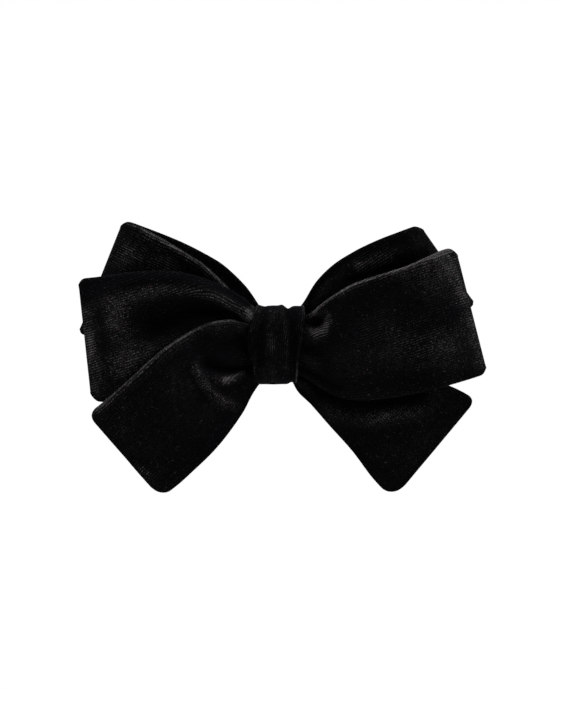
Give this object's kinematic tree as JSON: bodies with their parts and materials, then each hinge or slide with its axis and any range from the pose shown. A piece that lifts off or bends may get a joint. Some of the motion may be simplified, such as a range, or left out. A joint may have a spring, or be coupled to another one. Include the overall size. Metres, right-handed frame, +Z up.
{
  "type": "hair bow",
  "caption": "Ribbed velvet hair bow with two tiers of loops, two slanted tails and a gathered centre, on a spring barrette clip.",
  "frame": {"origin": "middle of the base plate's hair side, where the clip closes on the hair", "axes": "+X to the right along the clip when the bow is seen from the front, +Y away from the bow's face towards the head, +Z up across the bow"},
  "size_m": [0.1494, 0.0435, 0.1004],
  "materials": {
    "velvet": "ribbed stretch velvet, black, soft uneven pile",
    "thread": "twisted polyester sewing thread, black",
    "glue": "cured hot-melt adhesive, satin",
    "clip_steel": "nickel-plated pressed steel, satin",
    "pin_steel": "nickel-plated pin stock, bright",
    "spring_steel": "nickel-plated spring steel strip, satin"
  },
  "bodies": {
    "bow": {"front_loops": "velvet", "back_loops": "velvet", "left_tail": "velvet", "right_tail": "velvet", "centre_wrap": "velvet", "gathering_thread": "thread", "wrap_stitches": "thread", "glue_pad": "glue", "base_plate": "clip_steel", "hinge_pin": "pin_steel", "catch_bracket": "clip_steel", "catch_rivet": "pin_steel"},
    "arm": {"clasp_arm": "clip_steel"},
    "leaf": {"leaf_spring": "spring_steel"},
    "prong_upper": {"catch_prong_upper": "spring_steel"},
    "prong_lower": {"catch_prong_lower": "spring_steel"}
  },
  "joints": [
    {"name": "arm_hinge", "type": "hinge", "parent": "bow", "child": "arm", "pos_m": [-0.0385, 0.0123, 0], "axis": [0, 0, 1], "range_deg": [0, 75]},
    {"name": "leaf_hinge", "type": "hinge", "parent": "bow", "child": "leaf", "pos_m": [-0.037, 0.007, 0], "axis": [0, 0, 1], "range_deg": [0, 11.3]},
    {"name": "upper_prong_pinch", "type": "hinge", "parent": "bow", "child": "prong_upper", "pos_m": [0.03794, 0.00567, 0.0015], "axis": [-0.9711, -0.2388, 0], "range_deg": [0, 6], "stiffness_Nm_per_rad": 0.1},
    {"name": "lower_prong_pinch", "type": "hinge", "parent": "bow", "child": "prong_lower", "pos_m": [0.03794, 0.00567, -0.0015], "axis": [0.9711, 0.2388, 0], "range_deg": [0, 6], "stiffness_Nm_per_rad": 0.1}
  ],
  "couplings": [
    {"joint": "leaf_hinge", "follows": "arm_hinge", "ratio": 0.15}
  ]
}
